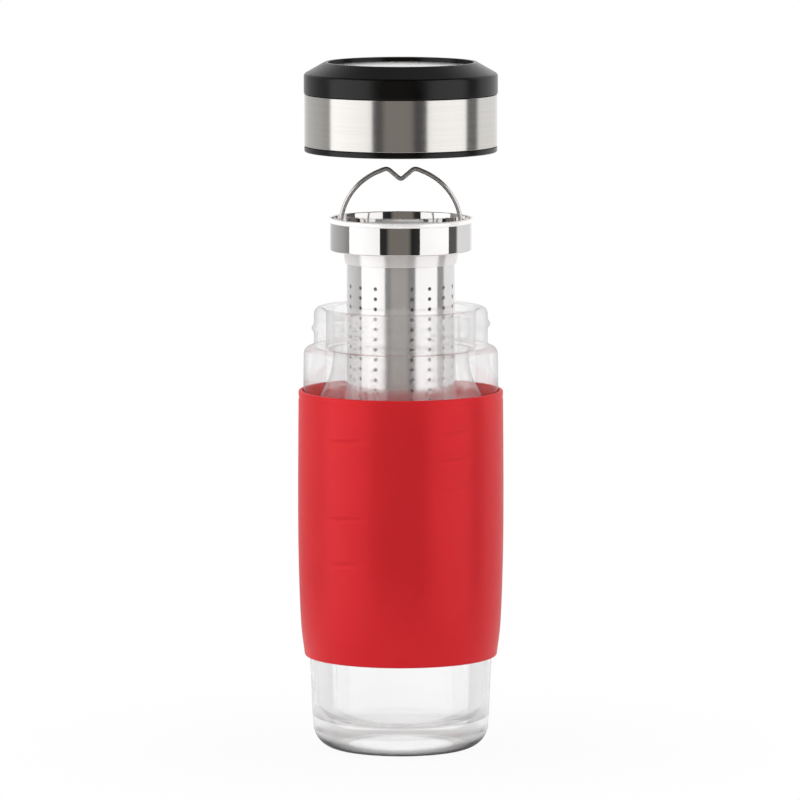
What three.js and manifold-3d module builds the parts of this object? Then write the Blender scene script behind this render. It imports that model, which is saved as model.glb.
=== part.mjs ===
// Tea mug: a glass in a silicone sleeve, a lift-out infuser with a wire bail, and a screw lid.
// Millimetres, +Z up, base on z = 0. The infuser stands raised out of the glass, the lid above it.
import * as THREE from 'three';
import { mergeVertices } from 'three/addons/utils/BufferGeometryUtils.js';
import Module from 'manifold-3d';

const wasm = await Module();
wasm.setup();

// Facets and clearances
const SEGMENTS = 32;
const ARC_STEPS = 3;
const BODY_SAMPLES = 160;
const MERGE_DISTANCE = 1e-4;
const GAP = 0.3;

// Heights at which the two lift-out assemblies stand
const INFUSER_Z = 186.5;
const LID_Z = 223.2;

// Glass body: radius and height stations of its outside, from the foot corner to the shoulder
const FOOT_CORNER = 8.7;
const FOOT_INNER_R = 20;
const PUNT_DEPTH = 1.2;
const BODY_STATIONS = [
  [32.7, FOOT_CORNER],
  [33.1, 14],
  [33.4, 22],
  [34.1, 34.5],
  [35.5, 47],
  [36.35, 70],
  [36.55, 95],
  [36.3, 134],
  [36.1, 147.9],
];
const STATION_STEP = 4;
const WALL = 2.3;
const FLOOR_Z = 10.6;
const FLOOR_DISH = 0.6;
const FLOOR_CORNER = 7.5;

// Glass shoulder and neck
const SHOULDER_ROUND = 2.8;
const NECK_R = 32.3;
const NECK_FILLET = 0.8;
const RIM_Z = 165.2;
const BORE_R = 27.8;
const LEDGE_Z = 149.5;
const LEDGE_ROUND = 0.7;
const THROAT_R = 25.2;
const FLARE_TOP = 147.6;
const FLARE_LOW = 119.2;
const FLARE_STEPS = 6;

// Screw thread, on the glass and inside the lid
const THREAD_PITCH = 3.4;
const THREAD_TURNS = 1.1;
const THREAD_STEPS = 32;
const THREAD_SIDES = 6;
const GLASS_THREAD_Z = 156.6;
const GLASS_THREAD_R = 32.2;
const GLASS_THREAD_WIRE = 1;
const LID_THREAD_Z = 3.4;
const LID_THREAD_R = 34.1;
const LID_THREAD_WIRE = 0.55;

// Sleeve
const SLEEVE_LOW = 34.7;
const SLEEVE_HIGH = 134.3;
const SLEEVE_T = 1.5;
const SLEEVE_HEM = 0.6;

// Infuser collar, heights from its seat
const COLLAR_R = 26.3;
const COLLAR_T = 0.9;
const COLLAR_H = 12.2;
const LIP_R = 27;
const LIP_H = 1.9;
const LIP_INNER_R = 25.8;
const MOUTH_LOW = 8.4;
const FLANGE_TOP_R = 21.5;
const FLANGE_LOW_R = 20.8;
const FLANGE_H = 4.8;
const COLLAR_FLOOR_T = 0.8;

// Infuser tube and its base
const TUBE_R = 20.1;
const TUBE_T = 0.6;
const TUBE_TOP = 0.5;
const TUBE_LOW = -74.5;
const TUBE_SEGMENTS = 36;
const HOLE_TURN_DEG = 2;
const SEAM_COLUMN = 13;
const HOLE_R = 0.75;
const HOLE_SIDES = 4;
const HOLE_ROWS = 16;
const HOLE_PITCH = 3.75;
const FIRST_ROW = -12.9;
const BASE_T = 0.8;
const BASE_SKIRT = 3;
const BASE_RINGS = [[1, 0], [6, 6.2], [12, 12.4]];

// Bail of bent wire, heights from the collar's seat
const WIRE_R = 0.85;
const PIVOT_Z = 6.7;
const PIVOT_HOLE_R = 1.3;
const PIN_END_X = 26;
const BAIL_BEND_R = 1.6;
const BAIL_ARC_Z = 8.4;
const BAIL_ARC_R = 22.4;
const BAIL_PEAK_X = 5.2;
const BAIL_PEAK_Z = 30.2;
const BAIL_PEAK_ROUND_DEG = 9;
const BAIL_NOTCH_Z = 26.6;
const BAIL_STEPS = 56;
const WIRE_SIDES = 8;

// Lid, heights from its lower edge
const LID_R = 35.8;
const LID_H = 33.3;
const LOW_RIM_H = 2;
const LINER_R = 35;
const LINER_INNER_R = 34.1;
const LINER_TOP = 21;
const WEB_LOW = 15.2;
const WEB_T = 1.4;
const POCKET_R = 24.4;
const POCKET_WALL = 0.9;
const POCKET_TOP = 28.9;
const SEAL_LOW = 13.1;
const SEAL_INNER_R = 27.7;
const SEAL_OUTER_R = 32.6;
const SEAL_KEEPER_R = 26.4;
const BAND_T = 0.55;
const BAND_TOP = 21.4;
const CAP_R = 36;
const CAP_LOW = BAND_TOP + GAP;
const CAP_WALL_TOP = 28;
const CAP_EDGE_ROUND = 1.5;
const BEZEL_DEG = 60;
const BEZEL_R = 28.2;
const CAP_PLATE_LOW = 30.1;
const CAP_PLATE_R = 29.5;
const SPIGOT_LOW = 17.5;
const SPIGOT_T = 1.2;
const DISC_R = 26.5;
const DISC_T = 0.6;
const RECESS_R = 27.1;
const RECESS_FLOOR = 30.9;

// Finishes
const GLASS = { color: 0xe9efef, roughness: 0.05, metalness: 0, transparent: true, opacity: 0.35 };
const SILICONE = { color: 0xc8323a, roughness: 0.6, metalness: 0 };
const POLISHED_STEEL = { color: 0xd2d0ce, roughness: 0.15, metalness: 1 };
const BRUSHED_STEEL = { color: 0xc4c1bd, roughness: 0.35, metalness: 1 };
const BLACK_PLASTIC = { color: 0x1a1a19, roughness: 0.35, metalness: 0 };
const SEAL_SILICONE = { color: 0xdedcd6, roughness: 0.7, metalness: 0 };

// Points of an arc in the profile plane, from one angle to another in degrees
function arc(centreR, centreZ, radius, fromDeg, toDeg, steps = ARC_STEPS) {
  const points = [];
  for (let i = 0; i <= steps; i += 1) {
    const angle = THREE.MathUtils.degToRad(fromDeg + (toDeg - fromDeg) * (i / steps));
    points.push([centreR + radius * Math.cos(angle), centreZ + radius * Math.sin(angle)]);
  }
  return points;
}

// Turns a profile of radius and height pairs about Z
function turn(profile, segments = SEGMENTS) {
  const points = profile.map(([r, z]) => new THREE.Vector2(r, z));
  return new THREE.LatheGeometry(points, segments).rotateX(Math.PI / 2);
}

// Turns a closed outline, for a ring that doesn't reach the axis
function turnRing(outline, segments = SEGMENTS) {
  return turn([...outline, outline[0]], segments);
}

// Manifold solid of a closed geometry, without the triangles that collapse on the axis
function solidOf(geometry) {
  const bare = geometry.clone();
  bare.deleteAttribute('normal');
  bare.deleteAttribute('uv');
  const merged = mergeVertices(bare, MERGE_DISTANCE);
  const index = merged.index.array;
  const kept = [];
  for (let i = 0; i < index.length; i += 3) {
    const [a, b, c] = [index[i], index[i + 1], index[i + 2]];
    if (a !== b && b !== c && c !== a) kept.push(a, b, c);
  }
  return new wasm.Manifold(new wasm.Mesh({
    numProp: 3,
    vertProperties: merged.attributes.position.array,
    triVerts: new Uint32Array(kept),
  }));
}

function geometryOf(solid) {
  const mesh = solid.getMesh();
  const geometry = new THREE.BufferGeometry();
  geometry.setAttribute('position', new THREE.BufferAttribute(mesh.vertProperties, 3));
  geometry.setIndex(new THREE.BufferAttribute(mesh.triVerts, 1));
  geometry.computeVertexNormals();
  return geometry;
}

// A round bar along a curve
function bar(curve, radius, sides, steps) {
  const corners = arc(0, 0, radius, 0, 360 - 360 / sides, sides - 1);
  const section = new THREE.Shape(corners.map(([x, y]) => new THREE.Vector2(x, y)));
  return new THREE.ExtrudeGeometry(section, { steps, bevelEnabled: false, extrudePath: curve });
}

class Helix extends THREE.Curve {
  constructor(radius, startZ) {
    super();
    this.radius = radius;
    this.startZ = startZ;
  }

  getPoint(t, target = new THREE.Vector3()) {
    const angle = Math.PI / 2 + 2 * Math.PI * THREAD_TURNS * t;
    const z = this.startZ + THREAD_PITCH * THREAD_TURNS * t;
    return target.set(this.radius * Math.cos(angle), this.radius * Math.sin(angle), z);
  }
}

function threadRidge(radius, startZ, wire) {
  return solidOf(bar(new Helix(radius, startZ), wire, THREAD_SIDES, THREAD_STEPS));
}

// Outside of the glass body as a smooth curve through its stations
const bodyCurve = new THREE.SplineCurve(BODY_STATIONS.map(([r, z]) => new THREE.Vector2(r, z)));
const bodySamples = bodyCurve.getPoints(BODY_SAMPLES);

function bodyRadius(z) {
  const above = bodySamples.findIndex((point) => point.y >= z);
  const high = bodySamples[Math.max(above, 1)];
  const low = bodySamples[Math.max(above, 1) - 1];
  return THREE.MathUtils.mapLinear(z, low.y, high.y, low.x, high.x);
}

// Stretch of the body's outline, moved out by an offset
function bodyStretch(fromZ, toZ, offset, steps) {
  const points = [];
  for (let i = 0; i <= steps; i += 1) {
    const z = THREE.MathUtils.lerp(fromZ, toZ, i / steps);
    points.push([bodyRadius(z) + offset, z]);
  }
  return points;
}

// Points of a smooth widening between two heights, straight up and down at both ends
function flare(fromR, fromZ, toR, toZ) {
  const middleZ = (fromZ + toZ) / 2;
  const corners = [[fromR, fromZ], [fromR, middleZ], [toR, middleZ], [toR, toZ]];
  const curve = new THREE.CubicBezierCurve(...corners.map(([r, z]) => new THREE.Vector2(r, z)));
  return curve.getPoints(FLARE_STEPS).map((point) => [point.x, point.y]);
}

function makeGlass() {
  const [cornerR, cornerZ] = BODY_STATIONS[0];
  const [shoulderR, shoulderZ] = BODY_STATIONS[BODY_STATIONS.length - 1];
  const shoulderTop = shoulderZ + SHOULDER_ROUND;
  const rimRound = (NECK_R - BORE_R) / 2;
  const flareR = bodyRadius(FLARE_LOW) - WALL;
  const floorZ = FLOOR_Z + FLOOR_CORNER;
  const floorR = bodyRadius(floorZ) - WALL - FLOOR_CORNER;
  const body = turn([
    [0, PUNT_DEPTH],
    [FOOT_INNER_R - PUNT_DEPTH, PUNT_DEPTH],
    [FOOT_INNER_R, 0],
    ...arc(cornerR - FOOT_CORNER, FOOT_CORNER, FOOT_CORNER, -90, 0, 4),
    ...bodyStretch(cornerZ + STATION_STEP, shoulderZ, 0, 10),
    ...arc(shoulderR - SHOULDER_ROUND, shoulderZ, SHOULDER_ROUND, 30, 90, 2),
    ...arc(NECK_R + NECK_FILLET, shoulderTop + NECK_FILLET, NECK_FILLET, 270, 180, 2),
    ...arc(NECK_R - rimRound, RIM_Z - rimRound, rimRound, 0, 180, 6),
    ...arc(BORE_R - LEDGE_ROUND, LEDGE_Z + LEDGE_ROUND, LEDGE_ROUND, 0, -90, 2),
    ...arc(THROAT_R + LEDGE_ROUND, LEDGE_Z - LEDGE_ROUND, LEDGE_ROUND, 90, 180, 2),
    ...flare(THROAT_R, FLARE_TOP, flareR, FLARE_LOW),
    ...bodyStretch(FLARE_LOW - STATION_STEP, floorZ + STATION_STEP, -WALL, 7),
    ...arc(floorR, floorZ, FLOOR_CORNER, 0, -90, 4),
    [0, FLOOR_Z - FLOOR_DISH],
  ]);
  const ridge = threadRidge(GLASS_THREAD_R, GLASS_THREAD_Z, GLASS_THREAD_WIRE);
  return geometryOf(solidOf(body).add(ridge));
}

function makeSleeve() {
  const inner = GAP;
  const outer = GAP + SLEEVE_T;
  return turnRing([
    ...bodyStretch(SLEEVE_LOW + SLEEVE_HEM, SLEEVE_HIGH - SLEEVE_HEM, outer, 8),
    [bodyRadius(SLEEVE_HIGH) + outer - SLEEVE_HEM, SLEEVE_HIGH],
    ...bodyStretch(SLEEVE_HIGH, SLEEVE_LOW, inner, 8),
    [bodyRadius(SLEEVE_LOW) + outer - SLEEVE_HEM, SLEEVE_LOW],
  ]);
}

function makeCollar() {
  const boreR = COLLAR_R - COLLAR_T;
  const flangeBoreR = TUBE_R + GAP;
  const lipRound = 0.8;
  const lipInnerRound = 0.4;
  const edgeRound = 0.5;
  const ring = turnRing([
    [flangeBoreR, -FLANGE_H],
    [FLANGE_LOW_R, -FLANGE_H],
    [FLANGE_TOP_R, -edgeRound],
    [FLANGE_TOP_R + edgeRound, 0],
    ...arc(COLLAR_R - edgeRound, edgeRound, edgeRound, -90, 0, 2),
    [COLLAR_R, COLLAR_H - LIP_H],
    ...arc(LIP_R - lipRound, COLLAR_H - LIP_H + lipRound, lipRound, -60, 0, 2),
    ...arc(LIP_R - lipRound, COLLAR_H - lipRound, lipRound, 0, 90),
    ...arc(LIP_INNER_R + lipInnerRound, COLLAR_H - lipInnerRound, lipInnerRound, 90, 180, 2),
    [boreR, MOUTH_LOW],
    [boreR, COLLAR_FLOOR_T],
    [flangeBoreR, COLLAR_FLOOR_T],
  ]);
  const drill = new THREE.CylinderGeometry(PIVOT_HOLE_R, PIVOT_HOLE_R, 4 * COLLAR_R, 12);
  drill.rotateZ(Math.PI / 2).translate(0, 0, PIVOT_Z);
  return geometryOf(solidOf(ring).subtract(solidOf(drill)));
}

function makeTube() {
  const pipe = turnRing([
    [TUBE_R - TUBE_T, TUBE_LOW],
    [TUBE_R, TUBE_LOW],
    [TUBE_R, TUBE_TOP],
    [TUBE_R - TUBE_T, TUBE_TOP],
  ], TUBE_SEGMENTS);
  const facet = (2 * Math.PI) / TUBE_SEGMENTS;
  const start = THREE.MathUtils.degToRad(HOLE_TURN_DEG);
  let sieve = solidOf(pipe.rotateZ(start + facet / 2));
  // Every second facet has a column of holes, apart from the one that the tube's seam runs along
  for (let column = 0; column < TUBE_SEGMENTS / 2; column += 1) {
    const angle = start + 2 * facet * column;
    for (let row = 0; row < HOLE_ROWS && column !== SEAM_COLUMN; row += 1) {
      const drill = new THREE.CylinderGeometry(HOLE_R, HOLE_R, 4 * TUBE_T, HOLE_SIDES);
      drill.rotateZ(Math.PI / 2).translate(TUBE_R, 0, FIRST_ROW - row * HOLE_PITCH).rotateZ(angle);
      sieve = sieve.subtract(solidOf(drill));
    }
  }
  return geometryOf(sieve);
}

function makeBase() {
  const outerR = TUBE_R - TUBE_T - GAP;
  const cup = turn([
    [0, TUBE_LOW],
    [outerR - BASE_T, TUBE_LOW],
    [outerR, TUBE_LOW + BASE_T],
    [outerR, TUBE_LOW + BASE_SKIRT],
    [outerR - BASE_T, TUBE_LOW + BASE_SKIRT],
    [outerR - BASE_T, TUBE_LOW + BASE_T],
    [0, TUBE_LOW + BASE_T],
  ]);
  let sieve = solidOf(cup);
  for (const [count, ringR] of BASE_RINGS) {
    for (let i = 0; i < count; i += 1) {
      const angle = (2 * Math.PI * i) / count;
      const drill = new THREE.CylinderGeometry(HOLE_R, HOLE_R, 4 * BASE_T, HOLE_SIDES);
      drill.rotateX(Math.PI / 2).translate(ringR * Math.cos(angle), ringR * Math.sin(angle), TUBE_LOW);
      sieve = sieve.subtract(solidOf(drill));
    }
  }
  return geometryOf(sieve);
}

function makeBail() {
  const bend = BAIL_BEND_R;
  const peakDeg = THREE.MathUtils.radToDeg(Math.acos(BAIL_PEAK_X / BAIL_ARC_R));
  const rightSide = [
    [PIN_END_X, PIVOT_Z],
    ...arc(BAIL_ARC_R + bend, PIVOT_Z + bend, bend, -90, -180, 2),
    ...arc(0, BAIL_ARC_Z, BAIL_ARC_R, 0, peakDeg - BAIL_PEAK_ROUND_DEG, 6),
    [BAIL_PEAK_X, BAIL_PEAK_Z],
    [BAIL_PEAK_X / 2, (BAIL_PEAK_Z + BAIL_NOTCH_Z) / 2],
  ];
  const leftSide = rightSide.map(([x, z]) => [-x, z]).reverse();
  const route = [...rightSide, [0, BAIL_NOTCH_Z], ...leftSide];
  const points = route.map(([x, z]) => new THREE.Vector3(x, 0, z));
  const curve = new THREE.CatmullRomCurve3(points, false, 'centripetal');
  return bar(curve, WIRE_R, WIRE_SIDES, BAIL_STEPS);
}

function makeLiner() {
  const webTop = WEB_LOW + WEB_T;
  const edge = 0.6;
  const cup = turn([
    [0, POCKET_TOP],
    [POCKET_R, POCKET_TOP],
    [POCKET_R, WEB_LOW],
    [SEAL_KEEPER_R, WEB_LOW],
    [SEAL_KEEPER_R, SEAL_LOW + GAP],
    [SEAL_INNER_R - GAP, SEAL_LOW + GAP],
    [SEAL_INNER_R - GAP, WEB_LOW],
    [LINER_INNER_R, WEB_LOW],
    [LINER_INNER_R, edge],
    [LINER_INNER_R + edge, 0],
    ...arc(LID_R - edge, edge, edge, -90, 0, 2),
    [LID_R, LOW_RIM_H],
    [LINER_R, LOW_RIM_H],
    [LINER_R, LINER_TOP],
    [LINER_INNER_R, LINER_TOP],
    [LINER_INNER_R, webTop],
    [POCKET_R + POCKET_WALL, webTop],
    [POCKET_R + POCKET_WALL, POCKET_TOP + POCKET_WALL],
    [0, POCKET_TOP + POCKET_WALL],
  ]);
  const ridge = threadRidge(LID_THREAD_R, LID_THREAD_Z, LID_THREAD_WIRE);
  return geometryOf(solidOf(cup).add(ridge));
}

function makeSeal() {
  const top = WEB_LOW - GAP;
  const edge = 0.5;
  return turnRing([
    [SEAL_INNER_R, SEAL_LOW + edge],
    [SEAL_INNER_R + edge, SEAL_LOW],
    [SEAL_OUTER_R - edge, SEAL_LOW],
    [SEAL_OUTER_R, SEAL_LOW + edge],
    [SEAL_OUTER_R, top],
    [SEAL_INNER_R, top],
  ]);
}

function makeBand() {
  const low = LOW_RIM_H + GAP;
  return turnRing([
    [LID_R - BAND_T, low],
    [LID_R, low],
    [LID_R, BAND_TOP],
    [LID_R - BAND_T, BAND_TOP],
  ]);
}

function makeCap() {
  const spigotR = LINER_INNER_R - GAP;
  const spigotInnerR = spigotR - SPIGOT_T;
  return turn([
    [0, CAP_PLATE_LOW],
    [CAP_PLATE_R, CAP_PLATE_LOW],
    [spigotInnerR, CAP_WALL_TOP],
    [spigotInnerR, SPIGOT_LOW],
    [spigotR, SPIGOT_LOW],
    [spigotR, CAP_LOW],
    [CAP_R, CAP_LOW],
    ...arc(CAP_R - CAP_EDGE_ROUND, CAP_WALL_TOP, CAP_EDGE_ROUND, 0, BEZEL_DEG),
    [BEZEL_R, LID_H],
    [RECESS_R, LID_H],
    [RECESS_R, RECESS_FLOOR],
    [0, RECESS_FLOOR],
  ]);
}

function makeDisc() {
  const low = RECESS_FLOOR + GAP;
  const edge = 0.25;
  return turn([
    [0, low],
    [DISC_R, low],
    [DISC_R, low + DISC_T - edge],
    [DISC_R - edge, low + DISC_T],
    [0, low + DISC_T],
  ]);
}

function addPiece(parent, name, geometry, finish) {
  const mesh = new THREE.Mesh(geometry, new THREE.MeshStandardMaterial(finish));
  mesh.name = name;
  parent.add(mesh);
}

const mug = new THREE.Group();
addPiece(mug, 'glass_body', makeGlass(), GLASS);
addPiece(mug, 'silicone_sleeve', makeSleeve(), SILICONE);

const infuser = new THREE.Group();
infuser.position.z = INFUSER_Z;
mug.add(infuser);
addPiece(infuser, 'infuser_collar', makeCollar(), POLISHED_STEEL);
addPiece(infuser, 'infuser_tube', makeTube(), POLISHED_STEEL);
addPiece(infuser, 'infuser_base', makeBase(), POLISHED_STEEL);
addPiece(infuser, 'bail_handle', makeBail(), POLISHED_STEEL);

const lid = new THREE.Group();
lid.position.z = LID_Z;
mug.add(lid);
addPiece(lid, 'lid_liner', makeLiner(), BLACK_PLASTIC);
addPiece(lid, 'lid_seal', makeSeal(), SEAL_SILICONE);
addPiece(lid, 'lid_band', makeBand(), BRUSHED_STEEL);
addPiece(lid, 'lid_cap', makeCap(), BLACK_PLASTIC);
addPiece(lid, 'lid_disc', makeDisc(), BRUSHED_STEEL);

export default mug;
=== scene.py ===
# Looks of the tea mug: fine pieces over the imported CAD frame, their materials, a plain studio and the camera.
# Sizes are in millimetres, and mesh_object turns them into Blender's metres.
# The lights and the camera are in metres.
import math

import bpy
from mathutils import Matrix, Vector
from mathutils.geometry import delaunay_2d_cdt


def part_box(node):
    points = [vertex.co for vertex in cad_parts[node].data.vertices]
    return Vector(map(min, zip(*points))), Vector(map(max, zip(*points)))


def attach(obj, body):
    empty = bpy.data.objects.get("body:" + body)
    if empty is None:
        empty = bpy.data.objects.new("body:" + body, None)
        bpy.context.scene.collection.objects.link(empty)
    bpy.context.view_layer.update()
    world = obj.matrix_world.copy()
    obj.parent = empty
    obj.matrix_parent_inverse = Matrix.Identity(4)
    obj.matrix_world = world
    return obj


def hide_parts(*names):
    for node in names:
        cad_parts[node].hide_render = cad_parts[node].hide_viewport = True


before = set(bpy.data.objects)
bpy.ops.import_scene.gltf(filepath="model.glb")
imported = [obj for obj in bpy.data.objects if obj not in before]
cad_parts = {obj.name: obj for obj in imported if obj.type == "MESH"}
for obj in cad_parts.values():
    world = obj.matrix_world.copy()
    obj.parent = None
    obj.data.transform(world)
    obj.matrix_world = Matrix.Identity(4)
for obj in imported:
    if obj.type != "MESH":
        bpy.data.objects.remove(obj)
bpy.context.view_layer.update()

MM = 0.001
LOW, HIGH = 0, 1


def level(node, end):
    """Height of a CAD node's lower or upper end at rest."""
    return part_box(node)[end].z / MM


# Fineness of the meshes: segments round the axis, rows up a wall, and segments of wall round a hole
SEGMENTS = 192
WALL_ROW = 2
HOLE_WINDOW = 10
SHARP_DEG = 40
WALL_TOLERANCE = 0.001

# Gap between neighbouring pieces
GAP = 0.3

# Glass
FOOT_CORNER = 8.7
FOOT_INNER_R = 20
PUNT_DEPTH = 1.2
# Radius and height stations of its outside, from the foot corner to the shoulder
BODY_STATIONS = [
    (32.7, FOOT_CORNER),
    (33.1, 14),
    (33.4, 22),
    (34.1, 34.5),
    (35.5, 47),
    (36.35, 70),
    (36.55, 95),
    (36.3, 134),
    (36.1, 147.9),
]
OUTLINE_STEPS = 24
OUTSIDE_ROWS = 70
INSIDE_ROWS = 60
WALL = 2.3
FLOOR_Z = 10.6
FLOOR_DISH = 0.6
FLOOR_SHARES = (0.85, 0.7, 0.55, 0.4, 0.25, 0.1, 0)
FLOOR_CORNER = 7.5
SHOULDER_ROUND = 2.8
NECK_R = 32.3
NECK_FILLET = 0.8
RIM_Z = level("glass_body", HIGH)
BORE_R = 27.8
LEDGE_Z = RIM_Z - 15.7
LEDGE_ROUND = 0.7
THROAT_R = 25.2
FLARE_TOP = RIM_Z - 17.6
FLARE_LOW = RIM_Z - 46
FLARE_ROWS = 16

# Screw thread, on the glass and inside the lid
THREAD_PITCH = 3.4
THREAD_TURNS = 1.1
THREAD_FADE_TURNS = 0.07
THREAD_ROW = 0.25
THREAD_POWER = 1.5
GLASS_THREAD_Z = RIM_Z - 8.6
GLASS_THREAD_H = 0.9
LID_THREAD_UP = 3.4
LID_THREAD_H = 0.55

# Sleeve, and the shallow ripples in its outside
SLEEVE_LOW = level("silicone_sleeve", LOW)
SLEEVE_HIGH = level("silicone_sleeve", HIGH)
SLEEVE_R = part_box("silicone_sleeve")[HIGH].x / MM
SLEEVE_T = 1.5
SLEEVE_HEM = 0.6
SLEEVE_ROW = 0.5
SLEEVE_INSIDE_ROWS = 30
FACES_INWARD = -0.5
HEM_LINE_DOWN = 2.6
HEM_LINE_DEPTH = 0.2
HEM_LINE_WIDTH = 0.9
RIPPLE_REPEATS = 2
RIPPLE_DEPTH = 0.65
RIPPLE_WIDTH = 1.2
RIPPLE_SPAN_DEG = 17
RIPPLE_SWAY = 0.3
# Degrees from the front, share of the sleeve's height and strength of each ripple
RIPPLES = [
    (-32, 0.84, 1.0),
    (-33, 0.55, 0.8),
    (-33, 0.38, 0.5),
    (30, 0.87, 0.6),
    (32, 0.77, 0.6),
    (31, 0.66, 0.3),
]

# Infuser, heights from the collar's seat
COLLAR_H = 12.2
SEAT_Z = level("infuser_collar", HIGH) - COLLAR_H
COLLAR_R = 26.3
COLLAR_T = 0.9
COLLAR_EDGE = 0.5
LIP_R = 27
LIP_H = 1.9
LIP_ROUND = 0.8
LIP_INNER_R = 25.8
LIP_INNER_ROUND = 0.4
LIP_MATT_R = LIP_INNER_R + 0.1
MOUTH_LOW = 8.4
FLANGE_TOP_R = 21.5
FLANGE_LOW_R = 20.8
FLANGE_H = 4.8
FLANGE_EDGE = 0.15
COLLAR_FLOOR_T = 0.8
TUBE_R = 20.1
TUBE_T = 0.6
TUBE_TOP = level("infuser_tube", HIGH) - SEAT_Z
TUBE_LOW = level("infuser_tube", LOW) - SEAT_Z
HOLE_R = 0.72
HOLE_COLUMNS = 18
HOLE_TURN_DEG = 2
SEAM_COLUMN = 13
HOLE_ROWS = 16
HOLE_PITCH = 3.75
FIRST_ROW = -12.9
BASE_T = 0.8
BASE_SKIRT = 3
BASE_SIDES = 96
BASE_HOLE_SIDES = 16
# Count and radius of each ring of holes in the base
BASE_RINGS = [(1, 0), (6, 6.2), (12, 12.4)]
# A triangle whose middle is nearer to a hole's centre than this lies in the hole
HOLE_KEEP_OUT = HOLE_R * 0.98
MERGE_DISTANCE = 1e-5

# Bail of bent wire, heights from the collar's seat
WIRE_R = 0.85
WIRE_SIDES = 20
WIRE_STEPS = 5
# Rounded end of the wire, as shares of its radius
WIRE_END_LONG = 0.3
WIRE_END_WIDE = 0.6
PIVOT_Z = 6.7
PIVOT_HOLE_R = 1.3
PIN_END_X = 26
BAIL_BEND_R = 1.6
BAIL_ARC_Z = 8.4
BAIL_ARC_R = 22.4
BAIL_PEAK_X = 5.2
BAIL_PEAK_Z = 30.2
BAIL_PEAK_ROUND_DEG = 9
BAIL_NOTCH_Z = 26.6

# Lid, heights from its lower edge
LID_Z = level("lid_liner", LOW)
LID_H = level("lid_cap", HIGH) - LID_Z
LID_R = 35.8
LID_EDGE = 0.6
LOW_RIM_H = 2
LINER_EDGE = 0.2
LINER_R = 35
LINER_INNER_R = 34.1
LINER_TOP = 21
WEB_LOW = 15.2
WEB_T = 1.4
POCKET_R = 24.4
POCKET_WALL = 0.9
POCKET_TOP = 28.9
SEAL_LOW = level("lid_seal", LOW) - LID_Z
SEAL_INNER_R = 27.7
SEAL_OUTER_R = 32.6
SEAL_EDGE = 0.5
SEAL_KEEPER_R = 26.4
BAND_T = 0.55
BAND_LOW = level("lid_band", LOW) - LID_Z
BAND_TOP = level("lid_band", HIGH) - LID_Z
BAND_EDGE = 0.2
CAP_R = 36
CAP_LOW = BAND_TOP + GAP
CAP_EDGE = 0.25
CAP_WALL_TOP = 28
CAP_EDGE_ROUND = 1.5
BEZEL_DEG = 60
BEZEL_R = 28.2
CAP_PLATE_LOW = 30.1
CAP_PLATE_R = 29.5
SPIGOT_LOW = 17.5
SPIGOT_T = 1.2
DISC_R = 26.5
DISC_T = 0.6
DISC_EDGE = 0.25
RECESS_R = 27.1
RECESS_FLOOR = 30.9

# Look of the glass: the share of a straight view in its neck and in its base, and where the painted shade at
# its heel is: a dark grey tint on the foot's slanted outside that stands in for the dark surroundings the foot
# refracts
GLASS_CLEAR = 0.8
BASE_CLEAR = 0.5
HEEL_SHADE_R = 26
HEEL_SHADE_LOW = 0.45 * FOOT_CORNER
HEEL_SHADE_HIGH = 0.75 * FOOT_CORNER

# Share of light that passes softly through the sleeve's outer and inner wall
SLEEVE_GLOW = 0.3
SLEEVE_INSIDE_GLOW = 0.95

# Usual range of a noise value
NOISE_LOW = 0.3
NOISE_HIGH = 0.7

# Studio floor: its size, and the radii between which it shades
GROUND_R = 300
GROUND_T = 4
GROUND_EDGE = 1
GROUND_SIDES = 96
FOOT_SHADE_R = 34
GROUND_SHADE_R = 60
GROUND_WHITE_R = 170
GROUND_SHADE = 0.95

# Two tall soft lights, and the bearings from the camera's side between which each one stands
LIGHT_DISTANCE = 1.1
LIGHT_HEIGHT = 2.0
LIGHT_MIDDLE_Z = 0.3
LIGHT_RADIANCE = 1.2
LEFT_LIGHT_DEG = (-92, -34)
RIGHT_LIGHT_DEG = (31, 84)

# World: where its mirrored image fades with height, and the share of that image within the glass
MIRROR_FADE_LOW = 0.4
MIRROR_FADE_HIGH = 0.8
MIRROR_HIGH_SHARE = 0.25
MIRROR_IN_GLASS = 0.6

# Camera: its distance and height follow from the photograph's perspective
CAMERA_TARGET = Vector((-0.0003, 0, 0.13036))
CAMERA_DISTANCE = 2.608
CAMERA_RISE = 0.115
CAMERA_LENS = 315
SENSOR = 36


def arc(centre_r, centre_z, radius, from_deg, to_deg, steps):
    """Points of an arc in the plane of a profile."""
    points = []
    for i in range(steps + 1):
        angle = math.radians(from_deg + (to_deg - from_deg) * i / steps)
        points.append((centre_r + radius * math.cos(angle), centre_z + radius * math.sin(angle)))
    return points


def spline(points, steps):
    """Catmull-Rom curve through points, with that many steps between each two."""
    curve = []
    last = len(points) - 1
    for i in range(last):
        p0, p1, p2, p3 = points[max(i - 1, 0)], points[i], points[i + 1], points[min(i + 2, last)]
        for k in range(steps):
            t = k / steps
            curve.append(tuple(
                b + t * ((c - a) / 2 + t * (a - 2.5 * b + 2 * c - d / 2 + t * (1.5 * (b - c) + (d - a) / 2)))
                for a, b, c, d in zip(p0, p1, p2, p3)))
    return curve + [points[last]]


BODY_CURVE = spline(BODY_STATIONS, OUTLINE_STEPS)


def body_radius(z):
    """Radius of the glass's outside at a height."""
    for (low_r, low_z), (high_r, high_z) in zip(BODY_CURVE, BODY_CURVE[1:]):
        if z <= high_z:
            return low_r + (high_r - low_r) * (z - low_z) / (high_z - low_z)
    return BODY_CURVE[-1][0]


def body_stretch(from_z, to_z, offset, steps):
    """Stretch of the glass's outline, moved out by an offset."""
    heights = [from_z + (to_z - from_z) * i / steps for i in range(steps + 1)]
    return [(body_radius(z) + offset, z) for z in heights]


def rows_between(radius, from_z, to_z, step):
    """Rows of a straight wall, without its two ends."""
    count = max(2, math.ceil(abs(to_z - from_z) / step))
    return [(radius, from_z + (to_z - from_z) * i / count) for i in range(1, count)]


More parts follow.
